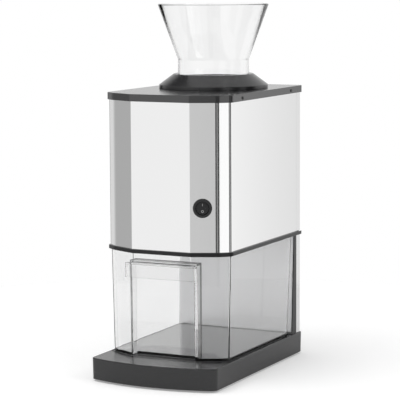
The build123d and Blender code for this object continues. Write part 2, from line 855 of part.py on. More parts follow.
with BuildPart() as compound_gear:
    with BuildSketch(axis_plane(slow_gear_x, axle_y)):
        add(gear_face(slow_module, slow_teeth, axle_radius + running, 180 / slow_teeth))
    extrude(amount=fast_gear_x - slow_gear_x)
    with BuildSketch(axis_plane(fast_gear_x, axle_y)):
        add(gear_face(fast_module, fast_teeth, axle_radius + running))
        with PolarLocations(fast_gear_radius * 0.62, 6):
            Circle(fast_gear_radius * 0.17, mode=Mode.SUBTRACT)
    extrude(amount=fast_width)
write(compound_gear, "compound_gear")

with BuildPart() as motor_pinion:
    with BuildSketch(axis_plane(fast_gear_x, motor_y)):
        add(gear_face(fast_module, motor_teeth, motor_shaft_radius + press, 180 / motor_teeth))
    extrude(amount=fast_width)
write(motor_pinion, "motor_pinion")

cover_half_z = rotor_gear_radius + slow_module + gear_cover_gap
motor_screw_at = motor_radius * 0.65
cover_front_y = motor_y - motor_screw_at * cos(pi / 4) - small_head - slip - gear_cover_wall
cover_rear_y = hopper_y + cover_half_z
cover_middle_y = (cover_front_y + cover_rear_y) / 2
cover_depth = cover_rear_y - cover_front_y
cover_inner_x = gear_end_x + side_gap
cover_outer_x = cover_inner_x + gear_cover_wall
plate_front_y = motor_y - motor_radius
cover_floor_x = duct_out_x + drive_plate_thick
cover_screw_in = small_head + gear_cover_wall
cover_screws_at = [
    (y, rotor_z + side * (cover_half_z - cover_screw_in))
    for y in (cover_front_y + cover_screw_in, cover_rear_y - cover_screw_in)
    for side in (-1, 1)
]

with BuildPart() as drive_plate:
    with BuildSketch(axis_plane(duct_out_x, (plate_front_y + cover_rear_y) / 2)):
        Rectangle(cover_rear_y - plate_front_y, 2 * cover_half_z)
    extrude(amount=drive_plate_thick)
    with BuildSketch(axis_plane(duct_out_x, hopper_y)):
        Circle(bush_radius + press)
        with Locations((axle_y - hopper_y, 0)):
            Circle(axle_radius + press)
        with Locations((motor_y - hopper_y, 0)):
            Circle(2 * motor_shaft_radius)
            with PolarLocations(motor_screw_at, 4, start_angle=45):
                Circle(small_screw + press)
        with Locations(*[(y - hopper_y, z - rotor_z) for y, z in cover_screws_at]):
            Circle(small_screw + press)
    extrude(amount=drive_plate_thick, mode=Mode.SUBTRACT)
write(drive_plate, "drive_plate")

with BuildPart() as motor_screws:
    with BuildSketch(axis_plane(cover_floor_x, motor_y)):
        with PolarLocations(motor_screw_at, 4, start_angle=45):
            Circle(small_head)
    extrude(amount=head_thick)
    with BuildSketch(axis_plane(cover_floor_x, motor_y)):
        with PolarLocations(motor_screw_at, 4, start_angle=45):
            Circle(small_screw)
    extrude(amount=-drive_plate_thick - bell_thick + slip)
write(motor_screws, "motor_screws")

with BuildPart() as gear_cover:
    with BuildSketch(axis_plane(cover_floor_x, cover_middle_y)):
        RectangleRounded(cover_depth, 2 * cover_half_z, gear_cover_round)
    extrude(amount=cover_outer_x - cover_floor_x)
    with BuildSketch(axis_plane(cover_floor_x, cover_middle_y)):
        RectangleRounded(
            cover_depth - 2 * gear_cover_wall,
            2 * cover_half_z - 2 * gear_cover_wall,
            gear_cover_round - gear_cover_wall,
        )
    extrude(amount=cover_inner_x - cover_floor_x, mode=Mode.SUBTRACT)
    with BuildSketch(axis_plane(cover_floor_x, cover_middle_y)):
        with Locations(*[(y - cover_middle_y, z - rotor_z) for y, z in cover_screws_at]):
            Circle(small_head + gear_cover_wall / 2)
    extrude(amount=cover_inner_x - cover_floor_x)
    with BuildSketch(axis_plane(cover_floor_x, cover_middle_y)):
        with Locations(*[(y - cover_middle_y, z - rotor_z) for y, z in cover_screws_at]):
            Circle(small_screw + press)
        with Locations((axle_y - cover_middle_y, 0)):
            Circle(axle_radius + press)
    extrude(amount=cover_outer_x - cover_floor_x, mode=Mode.SUBTRACT)
write(gear_cover, "gear_cover")

with BuildPart() as cover_screws:
    for y, z in cover_screws_at:
        seat = Plane(origin=(cover_outer_x, y, z), x_dir=(0, 1, 0), z_dir=(1, 0, 0))
        with BuildSketch(seat):
            Circle(small_head)
        extrude(amount=head_thick)
        with BuildSketch(seat):
            Circle(small_screw)
        extrude(amount=-(cover_outer_x - duct_out_x - slip))
write(cover_screws, "gear_cover_screws")

with BuildPart() as counter_axle:
    with BuildSketch(axis_plane(duct_out_x, axle_y)):
        Circle(axle_radius)
    extrude(amount=cover_outer_x - duct_out_x)
write(counter_axle, "counter_axle")

# ================================================================ motor
motor_left_x = duct_out_x - motor_length
bell_right_x = duct_out_x - bell_thick
bell_left_x = motor_left_x + bell_thick
core_x = (motor_left_x + duct_out_x) / 2 - coil_length / 2
coil_end_x = core_x + core_length / 2 + coil_length

with BuildPart() as motor_can:
    with BuildSketch(axis_plane(bell_left_x, motor_y)):
        Circle(motor_radius)
        Circle(motor_radius - can_wall, mode=Mode.SUBTRACT)
    extrude(amount=bell_right_x - bell_left_x)
write(motor_can, "motor_can")

with BuildPart() as motor_bell_right:
    with BuildSketch(axis_plane(bell_right_x, motor_y)):
        Circle(motor_radius)
        Circle(motor_shaft_radius + running, mode=Mode.SUBTRACT)
        with PolarLocations(motor_screw_at, 4, start_angle=45):
            Circle(small_screw + press, mode=Mode.SUBTRACT)
    extrude(amount=bell_thick)
write(motor_bell_right, "motor_bell_right")

with BuildPart() as motor_bell_left:
    with BuildSketch(axis_plane(motor_left_x, motor_y)):
        Circle(motor_radius)
        Circle(motor_shaft_radius + running, mode=Mode.SUBTRACT)
        with PolarLocations(motor_radius * 0.7, 8):
            Circle(motor_radius * 0.12, mode=Mode.SUBTRACT)
    extrude(amount=bell_thick)
write(motor_bell_left, "motor_bell_left")

with BuildPart() as motor_magnets:
    with BuildSketch(axis_plane(core_x - core_length / 2, motor_y)):
        Circle(motor_radius - can_wall - press)
        Circle(core_radius + air_gap, mode=Mode.SUBTRACT)
        Rectangle(2 * motor_radius, core_radius, mode=Mode.SUBTRACT)
    extrude(amount=core_length)
write(motor_magnets, "motor_magnets")

fan_x = motor_left_x - slip - fan_thick
with BuildPart() as motor_shaft:
    with BuildSketch(axis_plane(fan_x - slip, motor_y)):
        Circle(motor_shaft_radius)
    extrude(amount=cover_inner_x - side_gap / 2 - fan_x + slip)
write(motor_shaft, "motor_shaft")

with BuildPart() as armature_core:
    with BuildSketch(axis_plane(core_x - core_length / 2, motor_y)):
        Circle(core_radius)
        Circle(motor_shaft_radius + press, mode=Mode.SUBTRACT)
        with PolarLocations(core_radius, core_slots):
            Rectangle(core_radius * 0.7, core_radius * 0.14, mode=Mode.SUBTRACT)
    extrude(amount=core_length)
write(armature_core, "armature_core")

with BuildPart() as armature_coils:
    for start, way in ((core_x - core_length / 2, -1), (core_x + core_length / 2, 1)):
        with BuildSketch(axis_plane(start, motor_y)):
            Circle(core_radius * 0.85)
            Circle(motor_shaft_radius + press, mode=Mode.SUBTRACT)
        extrude(amount=way * coil_length)
write(armature_coils, "armature_coils")

commutator_length = bell_right_x - coil_end_x - slip - press
with BuildPart() as commutator:
    with BuildSketch(axis_plane(coil_end_x + press, motor_y)):
        Circle(commutator_radius)
        Circle(motor_shaft_radius + press, mode=Mode.SUBTRACT)
    extrude(amount=commutator_length)
write(commutator, "commutator")

brush_length = commutator_length / 2
brush_low = commutator_radius + brush_gap
brush_high = motor_radius - can_wall - brush_gap
with BuildPart() as carbon_brushes:
    with BuildSketch(axis_plane(bell_right_x - brush_length, motor_y)):
        with Locations((0, (brush_low + brush_high) / 2), (0, -(brush_low + brush_high) / 2)):
            Rectangle(commutator_radius, brush_high - brush_low)
    extrude(amount=brush_length)
write(carbon_brushes, "carbon_brushes")

with BuildPart() as motor_fan:
    with BuildSketch(axis_plane(fan_x, motor_y)):
        with PolarLocations(fan_radius / 2, fan_blades):
            Rectangle(fan_radius, fan_radius / 8)
        Circle(2 * motor_shaft_radius)
        Circle(motor_shaft_radius + press, mode=Mode.SUBTRACT)
    extrude(amount=fan_thick)
write(motor_fan, "motor_fan")

with BuildPart() as motor_cradle:
    cradle_low = steel_z - rotor_z
    cradle_top = -motor_radius / 2
    with BuildSketch(axis_plane(core_x - cradle_width / 2, motor_y)):
        with Locations((0, (cradle_low + cradle_top) / 2)):
            Rectangle(cradle_depth, cradle_top - cradle_low)
        Circle(motor_radius + press, mode=Mode.SUBTRACT)
        window_top = -motor_radius - cradle_width / 2
        with Locations((0, (cradle_low + cradle_width / 2 + window_top) / 2)):
            window_height = window_top - cradle_low - cradle_width / 2
            Rectangle(cradle_depth - cradle_width, window_height, mode=Mode.SUBTRACT)
    extrude(amount=cradle_width)
write(motor_cradle, "motor_cradle")

# ================================================================ switch
switch_line = Axis(switch_plane.origin, switch_plane.z_dir)
well_radius = rocker_radius + rocker_gap
rocker_plane = switch_plane.offset(-rocker_sink)
trunnion_half = (well_radius + barrel_radius) / 2

with BuildPart() as switch_body:
    with BuildSketch(switch_plane):
        Circle(bezel_radius)
    extrude(amount=bezel_thick)
    fillet(switch_body.edges().filter_by(GeomType.CIRCLE).sort_by(switch_line)[-1], bezel_round)
    with BuildSketch(switch_plane):
        Circle(barrel_radius)
    extrude(amount=-barrel_depth)
    with BuildSketch(switch_plane.offset(bezel_thick)):
        Circle(well_radius)
    extrude(amount=-bezel_thick - rocker_deep, mode=Mode.SUBTRACT)
    with BuildSketch(switch_plane.offset(-barrel_depth)):
        for along in (-1, 0, 1):
            with Locations((0, along * barrel_radius / 2)):
                Rectangle(tag_width, tag_thick)
    extrude(amount=-tag_length)
    # the rocker's trunnions turn in this hole
    with BuildSketch(Plane(origin=rocker_plane.origin, x_dir=(0, 0, 1), z_dir=rocker_plane.x_dir)):
        Circle(trunnion_radius + running)
    extrude(amount=trunnion_half + slip, both=True, mode=Mode.SUBTRACT)
write(switch_body, "switch_body")

tilted = rocker_plane.rotated((-rocker_tilt, 0, 0))
with BuildPart() as switch_rocker:
    rocker_thick = bezel_thick - rocker_inset
    with BuildSketch(tilted.offset(-rocker_thick)):
        Circle(rocker_radius)
    extrude(amount=2 * rocker_thick)
    # a low ridge where the two pressed halves meet
    with BuildSketch(tilted.offset(rocker_thick)):
        Rectangle(1.5 * rocker_radius, ridge_width)
    extrude(amount=ridge_height)
    with BuildSketch(Plane(origin=rocker_plane.origin, x_dir=(0, 0, 1), z_dir=rocker_plane.x_dir)):
        Circle(trunnion_radius)
    extrude(amount=trunnion_half, both=True)
write(switch_rocker, "switch_rocker")

# ================================================================ safety switch under the lid
safety_x = -duct_out_x - safety_width / 2
with BuildPart() as safety_switch:
    with Locations((safety_x, hopper_y, safety_top_z)):
        Box(safety_width, safety_depth, safety_height, align=DOWN)
    with Locations((-peg_at, hopper_y, safety_top_z)):
        Cylinder(plunger_radius + running, safety_height / 2, align=DOWN, mode=Mode.SUBTRACT)
    for along in (-1, 0, 1):
        with Locations((safety_x, hopper_y + along * safety_depth / 3, safety_top_z - safety_height)):
            Box(tag_width, tag_thick, tag_length, align=DOWN)
write(safety_switch, "safety_switch")

with BuildPart() as safety_plunger:
    with Locations((-peg_at, hopper_y, safety_top_z + plunger_reach)):
        Cylinder(plunger_radius, plunger_reach + safety_height / 2 - plunger_travel - slip, align=DOWN)
write(safety_plunger, "safety_plunger")

# ================================================================ cord bushing and terminals
with BuildPart() as cord_bushing:
    with BuildSketch(rear_plane(body_rear_y)):
        with Locations((-bushing_x, bushing_z)):
            Circle(bushing_radius + bushing_flange)
    extrude(amount=bushing_flange_thick)
    with BuildSketch(rear_plane(body_rear_y)):
        with Locations((-bushing_x, bushing_z)):
            Circle(bushing_radius)
    extrude(amount=-bushing_depth)
    with BuildSketch(rear_plane(body_rear_y + bushing_flange_thick)):
        with Locations((-bushing_x, bushing_z)):
            Circle(cord_hole)
    extrude(amount=-bushing_flange_thick - bushing_depth, mode=Mode.SUBTRACT)
write(cord_bushing, "cord_bushing")

with BuildPart() as terminal_block:
    with Locations((terminal_x, terminal_y, steel_z)):
        Box(terminal_width, terminal_ways * terminal_pitch, terminal_height, align=UP)
    for i in range(terminal_ways):
        along = terminal_y + (i - (terminal_ways - 1) / 2) * terminal_pitch
        with Locations((terminal_x, along, steel_z + terminal_height)):
            Cylinder(terminal_pitch / 3, terminal_height / 2, align=DOWN, mode=Mode.SUBTRACT)
write(terminal_block, "terminal_block")

# ================================================================ bin
bin_top_z = plate_z - bin_top_gap
bin_floor_z = base_top_z + bin_under_gap
bin_front_y = facet_y + bin_side_gap


def bin_block(inset, low_z):
    """The bin's outer shape, drawn in by inset, from low_z to its top edge."""
    rear = wall_thick + bin_rear_gap + inset
    with BuildPart() as block:
        with BuildSketch(Plane.XY.offset(bin_top_z)):
            add(body_outline(-bin_side_gap - inset))
        extrude(amount=low_z - bin_top_z, taper=bin_draft)
        with BuildSketch(Plane.YZ):
            with BuildLine():
                Polyline(
                    post_front(base_top_z, rear),
                    post_front(plate_z, rear),
                    (base_rear_y, plate_z),
                    (base_rear_y, base_top_z),
                    close=True,
                )
            make_face()
        extrude(amount=side_x, both=True, mode=Mode.SUBTRACT)
        rear_edges = block.edges().filter_by(lambda edge: edge.center().Y > hopper_y)
        rear_edges = rear_edges.filter_by(lambda edge: abs(edge.center().X) > facet_half)
        upright = rear_edges.filter_by(lambda edge: edge.length > (bin_top_z - low_z) * 0.9)
        fillet(upright, bin_rear_corner - inset)
        # the finger recess in the front
        with BuildSketch(Plane.XY.offset(low_z)):
            with Locations((0, facet_y)):
                Rectangle(2 * (recess_half + inset), 2 * (recess_depth + bin_side_gap + inset))
        extrude(amount=recess_top_z + inset - low_z, mode=Mode.SUBTRACT)
    return block.part


bin_hollow = bin_block(bin_wall, bin_floor_z + bin_floor)
with BuildPart() as bin_body:
    add(bin_block(0.0, bin_floor_z))
    add(bin_hollow, mode=Mode.SUBTRACT)
write(bin_body, "bin_body")

with BuildPart() as bin_grip:
    with BuildSketch(Plane.XY.offset(recess_top_z)):
        with Locations((0, bin_front_y - grip_reach / 2)):
            Rectangle(2 * grip_half, grip_reach)
    extrude(amount=-grip_height)
    with BuildSketch(Plane.XY.offset(recess_top_z - grip_wall)):
        with Locations((0, bin_front_y - grip_reach / 2 + grip_wall)):
            Rectangle(2 * (grip_half - grip_wall), grip_reach)
    extrude(amount=-grip_height, mode=Mode.SUBTRACT)
write(bin_grip, "bin_grip")
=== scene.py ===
# %% [markdown]
# # An electric ice crusher, dressed for a photograph
# The machine stands upright: a steel housing with three flat facets in front, a clear hopper on a black
# collar, a clear bin that pulls out of the front, and a black base whose front edge bows forward.
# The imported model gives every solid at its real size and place. This file gives them their finish: edges
# that catch the light, brushed steel, moulded plastic, and the small pieces that a solid model leaves plain.

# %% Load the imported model
import json
import math
import bmesh
import bpy
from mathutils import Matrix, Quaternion, Vector


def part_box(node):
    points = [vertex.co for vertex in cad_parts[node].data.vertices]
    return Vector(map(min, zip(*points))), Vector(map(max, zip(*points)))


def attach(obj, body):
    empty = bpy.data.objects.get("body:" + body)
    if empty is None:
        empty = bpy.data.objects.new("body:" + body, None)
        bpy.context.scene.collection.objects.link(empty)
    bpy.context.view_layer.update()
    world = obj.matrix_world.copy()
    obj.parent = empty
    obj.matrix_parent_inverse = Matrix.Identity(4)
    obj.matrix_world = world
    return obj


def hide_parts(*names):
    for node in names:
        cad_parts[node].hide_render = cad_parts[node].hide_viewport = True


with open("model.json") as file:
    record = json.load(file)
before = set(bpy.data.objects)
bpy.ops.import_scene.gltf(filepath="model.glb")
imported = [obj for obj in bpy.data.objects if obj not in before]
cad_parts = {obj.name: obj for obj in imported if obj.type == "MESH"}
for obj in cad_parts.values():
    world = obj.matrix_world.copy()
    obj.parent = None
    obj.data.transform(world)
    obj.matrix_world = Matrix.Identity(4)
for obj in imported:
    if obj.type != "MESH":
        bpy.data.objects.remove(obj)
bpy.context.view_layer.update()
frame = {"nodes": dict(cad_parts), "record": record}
NODES = frame["nodes"]
BODY_OF = {node: body for body, nodes in frame["record"]["behaviour"]["bodies"].items() for node in nodes}
SLOT_OF = {part["node"]: part["material_slot"] for part in frame["record"]["subparts"]}
print("nodes to dress:", len(NODES), "with", len(set(SLOT_OF.values())), "material slots")

# %% [markdown]
# ## The camera first
# A long lens from the front right, a little above the machine. Its place was worked out from the straight
# edges and circles of the machine, so it is written as real angles and lengths. A camera that is set first
# keeps every later choice honest, because each piece is judged from the same spot.

# %% Camera
VIEW_TURN = math.radians(26.044)    # round to the machine's right
VIEW_RISE = math.radians(6.258)     # up from the horizontal
VIEW_ROLL = math.radians(-0.283)    # a slight lean
VIEW_PLACE = Vector((1.0454, -2.1322, 0.5113))
VIEW_REACH = 20                     # metres
FOCAL_IN_WIDTHS = 1869.13 / 400     # focal length, in widths of the picture
SHIFT_IN_WIDTHS = (0.0007, -0.0645)
SENSOR = 36                         # millimetres


def in_scene(name, data):
    """A new object that holds the data, linked into the scene."""
    made = bpy.data.objects.new(name, data)
    bpy.context.scene.collection.objects.link(made)
    return made


back = Vector((
    math.sin(VIEW_TURN) * math.cos(VIEW_RISE),
    -math.cos(VIEW_TURN) * math.cos(VIEW_RISE),
    math.sin(VIEW_RISE),
))
lens = bpy.data.cameras.new("view")
lens.sensor_width = SENSOR
lens.lens = SENSOR * FOCAL_IN_WIDTHS
lens.shift_x, lens.shift_y = SHIFT_IN_WIDTHS
lens.clip_end = VIEW_REACH
camera = in_scene("view", lens)
camera.location = VIEW_PLACE
camera.rotation_euler = (back.to_track_quat("Z", "Y") @ Quaternion((0, 0, 1), VIEW_ROLL)).to_euler()
bpy.context.scene.camera = camera
print("camera at", [round(v, 3) for v in camera.location])

# %% [markdown]
# ## Light, like a product studio
# Polished steel shows its surroundings, so the surroundings are designed: white and black cards stand
# round the machine. They could be real planes, but then they would stand in other views too. So the world
# holds them, as bands of azimuth that only glossy rays see: one colour ramp for each half of the room,
# because a ramp holds 32 colours at most. Each front corner of the housing is a narrow strip between two
# bends, and dark bands draw the lines on those bends, which tell the eye that the sheet is folded. A
# bright band waits wherever a wall is seen square on, so that no side turns black. The camera and clear
# plastic see plain white, and the diffuse light comes from a calm grey sky and two lamps.

# %% World: the azimuth of a ray
def new_tree(owner):
    """Empties a node tree and returns two short calls: one adds a node, the other joins two sockets."""
    owner.use_nodes = True
    tree = owner.node_tree
    tree.nodes.clear()

    def add(kind, **settings):
        node = tree.nodes.new(kind)
        for name, value in settings.items():
            if hasattr(node, name):
                setattr(node, name, value)
            else:
                node.inputs[name].default_value = value
        return node

    return add, tree.links.new


world = bpy.data.worlds.new("studio")
bpy.context.scene.world = world
add, join = new_tree(world)
direction = add("ShaderNodeTexCoord")
split = add("ShaderNodeSeparateXYZ")
join(direction.outputs["Generated"], split.inputs[0])
forward = add("ShaderNodeMath", operation="MULTIPLY")    # the machine's front looks along -Y
forward.inputs[1].default_value = -1
join(split.outputs["Y"], forward.inputs[0])
azimuth = add("ShaderNodeMath", operation="ARCTAN2")
join(split.outputs["X"], azimuth.inputs[0])
join(forward.outputs[0], azimuth.inputs[1])
print("nodes for the azimuth:", len(world.node_tree.nodes))

# %% World: the bands
# each row is an azimuth in degrees, 0 in front of the machine and 90 at its right, and a brightness
LEFT_BANDS = [
    (-180, 0.80), (-165, 0.92), (-146, 0.92), (-130, 0.60), (-127, 0.0), (-114, 0.0), (-112, 0.75),
    (-104, 0.78), (-84, 0.52), (-77.5, 0.446), (-50, 0.75), (-38, 0.98), (-20, 1.0), (0, 0.83),
]
RIGHT_BANDS = [
    (0, 0.83), (20, 0.68), (25, 0.66), (26.5, 0.03), (30.5, 0.02), (33, 0.42), (35.5, 0.25), (37.5, 0.0),
    (42.5, 0.0), (44, 1.12), (57, 1.15), (64, 0.70), (69, 0.02), (82, 0.02), (84.5, 0.75), (95.5, 0.75),
    (98, 0.0), (120, 0.05), (127, 1.10), (154.6, 1.08), (156, 0.90), (157, 0.80), (165, 0.74), (180, 0.80),
]
MIX_A, MIX_B, MIX_RESULT = 6, 7, 2    # the Mix node's colour sockets go by number


def half_ramp(rows):
    """A ramp over one half of the room, from its first row's azimuth to its last row's."""
    first, last = rows[0][0], rows[-1][0]
    place = add("ShaderNodeMapRange")
    place.inputs["From Min"].default_value = math.radians(first)
    place.inputs["From Max"].default_value = math.radians(last)
    join(azimuth.outputs[0], place.inputs["Value"])
    ramp = add("ShaderNodeValToRGB")
    stops = ramp.color_ramp.elements
    stops.remove(stops[-1])
    for degrees, level in rows:
        position = (degrees - first) / (last - first)
        stop = stops.new(position) if position else stops[0]
        stop.position = position
        stop.color = (level, level, level, 1)
    join(place.outputs["Result"], ramp.inputs["Fac"])
    return ramp.outputs["Color"]


on_right = add("ShaderNodeMath", operation="GREATER_THAN")
on_right.inputs[1].default_value = 0
join(azimuth.outputs[0], on_right.inputs[0])
bands = add("ShaderNodeMix", data_type="RGBA")
join(on_right.outputs[0], bands.inputs["Factor"])
join(half_ramp(LEFT_BANDS), bands.inputs[MIX_A])
join(half_ramp(RIGHT_BANDS), bands.inputs[MIX_B])
print("world bands:", len(LEFT_BANDS), "rows on the left,", len(RIGHT_BANDS), "on the right")

# %% World: what each kind of ray sees
WHITE = (1, 1, 1, 1)
SKY_LEVEL = 0.62


def straight_rays(add, join):
    """A socket that is 1 for a ray from the camera and for one that has gone through clear plastic."""
    ray = add("ShaderNodeLightPath")
    either = add("ShaderNodeMath", operation="MAXIMUM")
    join(ray.outputs["Is Camera Ray"], either.inputs[0])
    join(ray.outputs["Is Transmission Ray"], either.inputs[1])
    return either.outputs[0]


def chosen(add, join, factor, usual, special):
    """A shader that is the usual one where the factor is 0 and the special one where it is 1."""
    mix = add("ShaderNodeMixShader")
    for source, socket in zip((factor, usual, special), mix.inputs):
        join(source, socket)
    return mix.outputs[0]


sky = add("ShaderNodeBackground", Color=WHITE, Strength=SKY_LEVEL)
mirror_room = add("ShaderNodeBackground", Strength=1.0)
join(bands.outputs[MIX_RESULT], mirror_room.inputs["Color"])
plain_white = add("ShaderNodeBackground", Color=WHITE, Strength=1.0)
glossy = add("ShaderNodeLightPath").outputs["Is Glossy Ray"]
unseen_room = chosen(add, join, glossy, sky.outputs[0], mirror_room.outputs[0])
room = chosen(add, join, straight_rays(add, join), unseen_room, plain_white.outputs[0])
join(room, add("ShaderNodeOutputWorld").inputs["Surface"])
print("nodes in the world:", len(world.node_tree.nodes))

# %% [markdown]
# ## Two soft lamps
# The sky alone would leave the machine flat. A large square lamp above, a little to the front left, gives
# the soft shadow on the floor, and a second one at the right models the side. An area lamp is chosen over
# a point, because its shadows have soft edges. Both are hidden from glossy rays, so that only the designed
# bands show in the steel.

# %% Lamps
def soft_lamp(name, place, target, width, watts):
    """A square area lamp that looks at a point."""
    lamp = bpy.data.lights.new(name, "AREA")
    lamp.shape = "SQUARE"
    lamp.size = width
    lamp.energy = watts
    holder = in_scene(name, lamp)
    holder.location = place
    holder.rotation_euler = (Vector(place) - Vector(target)).to_track_quat("Z", "Y").to_euler()
    holder.visible_glossy = False
    print(name, "is", width, "m wide and gives", watts, "W")


soft_lamp("lamp_above", place=(-0.5, -0.7, 2.2), target=(0, 0, 0.15), width=1.4, watts=16)
soft_lamp("lamp_right", place=(2.0, -0.4, 1.2), target=(0, 0, 0.25), width=1.2, watts=9)

# %% [markdown]
# ## The floor
# The machine stands on white paper. A round sheet is enough, since the white room goes on where it ends.
# Paper under these lamps would come out grey, so it glows a little, but only for the camera and through
# clear plastic: the machine gets no light from that glow, and the floor keeps its shadow.

# %% Floor
FLOOR_RADIUS = 0.7
FLOOR_SIDES = 96
PAPER_COLOUR = (0.86, 0.86, 0.86, 1)
PAPER_GLOW = 0.28

floor_mesh = bpy.data.meshes.new("floor")
shape = bmesh.new()
bmesh.ops.create_circle(shape, cap_ends=True, radius=FLOOR_RADIUS, segments=FLOOR_SIDES)
shape.to_mesh(floor_mesh)
shape.free()
floor = in_scene("floor", floor_mesh)
paper = bpy.data.materials.new("floor_paper")
add, join = new_tree(paper)
card = add("ShaderNodeBsdfDiffuse", Color=PAPER_COLOUR)
glow = add("ShaderNodeEmission", Color=WHITE, Strength=PAPER_GLOW)
lit = add("ShaderNodeAddShader")
join(card.outputs[0], lit.inputs[0])
join(glow.outputs[0], lit.inputs[1])
sheet = chosen(add, join, straight_rays(add, join), card.outputs[0], lit.outputs[0])
join(sheet, add("ShaderNodeOutputMaterial").inputs["Surface"])
floor_mesh.materials.append(paper)
bpy.context.scene.view_settings.view_transform = "Standard"
print("floor:", FLOOR_RADIUS * 2, "m across")

# %% [markdown]
# ## Finishes, and first the metals
# Each finish is a small node tree. Most of them share one idea: a noise that is far finer than the piece
# moves the roughness and the surface a little, because no real surface is perfectly even. Patterns read
# Object coordinates, which are the machine's own, so that neighbouring pieces carry one grain. The housing
# is brushed sheet: its noise is drawn out along the height until it turns into fine upright scratches.

# %% One maker for most finishes
NOISE_DETAIL = 3
RELIEF_HEIGHT = 0.0002    # metres, at a bump of 1
METAL = 1.0


def finish(name, color, roughness, grain, metallic=0.0, stretch=(1, 1, 1), bump=0.05, spread=0.06, **more):
    """A surface whose roughness and height follow a fine noise; stretch lengthens the noise into a grain."""
    material = bpy.data.materials.new(name)
    add, join = new_tree(material)
    shader = add("ShaderNodeBsdfPrincipled")
    shader.inputs["Base Color"].default_value = (*color, 1)
    shader.inputs["Metallic"].default_value = metallic
    for socket, value in more.items():
        shader.inputs[socket].default_value = value
    where = add("ShaderNodeTexCoord")
    scale = add("ShaderNodeMapping")
    scale.inputs["Scale"].default_value = stretch
    join(where.outputs["Object"], scale.inputs["Vector"])
    noise = add("ShaderNodeTexNoise")
    noise.inputs["Scale"].default_value = grain
    noise.inputs["Detail"].default_value = NOISE_DETAIL
    join(scale.outputs[0], noise.inputs["Vector"])
    rough = add("ShaderNodeMapRange")
    rough.inputs["To Min"].default_value = roughness - spread
    rough.inputs["To Max"].default_value = roughness + spread
    join(noise.outputs["Fac"], rough.inputs["Value"])
    join(rough.outputs["Result"], shader.inputs["Roughness"])
    relief = add("ShaderNodeBump")
    relief.inputs["Strength"].default_value = bump
    relief.inputs["Distance"].default_value = RELIEF_HEIGHT
    join(noise.outputs["Fac"], relief.inputs["Height"])
    join(relief.outputs[0], shader.inputs["Normal"])
    join(shader.outputs[0], add("ShaderNodeOutputMaterial").inputs["Surface"])
    return material


# each row: name, colour, roughness, grain, and then what differs from the maker's usual values
FINISH = {
    "steel_sheet": finish(
        "brushed_steel_sheet", (0.86, 0.86, 0.86), 0.105, 500, METAL,
        stretch=(4, 4, 0.05), bump=0.015, spread=0.03,
    ),
    "grey_steel": finish(
        "plain_steel_wall", (0.72, 0.72, 0.73), 0.30, 400, METAL,
        stretch=(4, 4, 0.1), bump=0.03, spread=0.05,
    ),
    "screw_steel": finish("bright_screw", (0.72, 0.72, 0.73), 0.22, 1500, METAL, bump=0.03),
    "zinc_plate": finish("zinc_plated_sheet", (0.62, 0.62, 0.60), 0.36, 300, METAL),
    "blade_steel": finish("stainless_blades", (0.70, 0.71, 0.72), 0.24, 500, METAL, stretch=(1, 8, 8)),
    "bronze_bush": finish("sintered_bronze", (0.52, 0.34, 0.16), 0.45, 1800, METAL, bump=0.15),
    "gear_steel": finish("sintered_steel", (0.34, 0.34, 0.35), 0.42, 1500, METAL, bump=0.12),
    "copper_wire": finish(
        "enamelled_copper", (0.60, 0.24, 0.10), 0.30, 900, METAL,
        stretch=(1, 20, 20), bump=0.3,
    ),
}
print("metal finishes:", len(FINISH))

# %% [markdown]
# ## Mouldings, rubber and paint
# Black plastic is never quite black, and its gloss tells the pieces apart: the cover is satin and
# reflects most, the base is a little duller, and the bay behind the bin is duller still. How much a
# moulding reflects comes from its index of refraction, set on the shader itself. A fine noise gives each
# the faint skin that a mould leaves, and rubber gets a deeper relief and no shine.

# %% Mouldings, rubber and paint
FINISH.update({
    "black_cover": finish("satin_black_cover", (0.016, 0.016, 0.017), 0.17, 1400, bump=0.04, IOR=1.78),
    "base_black": finish("base_moulded_black", (0.014, 0.014, 0.015), 0.26, 1100, bump=0.06, IOR=1.6),
    "frame_black": finish("bay_moulded_black", (0.010, 0.010, 0.011), 0.30, 1100, bump=0.06, IOR=1.4),
    "collar_black": finish("collar_moulded_black", (0.016, 0.016, 0.017), 0.22, 900, bump=0.03, IOR=1.55),
    "rubber_black": finish("black_rubber", (0.020, 0.020, 0.020), 0.72, 1600, bump=0.2),
    "seal_rubber": finish("seal_rubber", (0.06, 0.06, 0.06), 0.65, 1600, bump=0.15),
    "screw_black": finish("black_oxide_screw", (0.03, 0.03, 0.03), 0.34, 1500),
    "duct_white": finish("duct_moulded_white", (0.78, 0.78, 0.76), 0.38, 900),
    "motor_paint": finish("motor_paint", (0.10, 0.11, 0.12), 0.40, 900, bump=0.06),
    "magnet_dark": finish("ferrite", (0.06, 0.06, 0.06), 0.60, 1500, bump=0.15),
    "carbon": finish("graphite", (0.05, 0.05, 0.05), 0.50, 1500, bump=0.1),
    "switch_black": finish("rocker_black", (0.018, 0.018, 0.019), 0.26, 1200),
    "switch_case": finish("switch_case_black", (0.020, 0.020, 0.021), 0.34, 1200, bump=0.08),
    "plunger_red": finish("plunger_red", (0.50, 0.05, 0.04), 0.35, 1200, bump=0.03),
    "sign_ink": finish("rocker_sign_ink", (0.42, 0.42, 0.42), 0.40, 1200, bump=0.03),
    "terminal_cream": finish("terminal_cream", (0.76, 0.73, 0.62), 0.42, 900, bump=0.04),
})
print("finishes so far:", len(FINISH))

# %% [markdown]
# ## Clear plastic
# The hopper and the bin are clear mouldings that look a little smoky where one looks along their walls.
# A tinted surface would darken each wall by the same amount, however thick it is. So the surface stays
# colourless, and the tint sits inside as absorption, which deepens with the plastic that light goes through.
# For shadow rays the surface steps aside, because otherwise clear plastic would cast a black shadow.

# %% Clear plastic
PLASTIC_IOR = 1.49
HAZE_GRAIN = 60                          # a slow change of gloss over the surface
SHADOW_COLOUR = (0.97, 0.97, 0.97, 1)


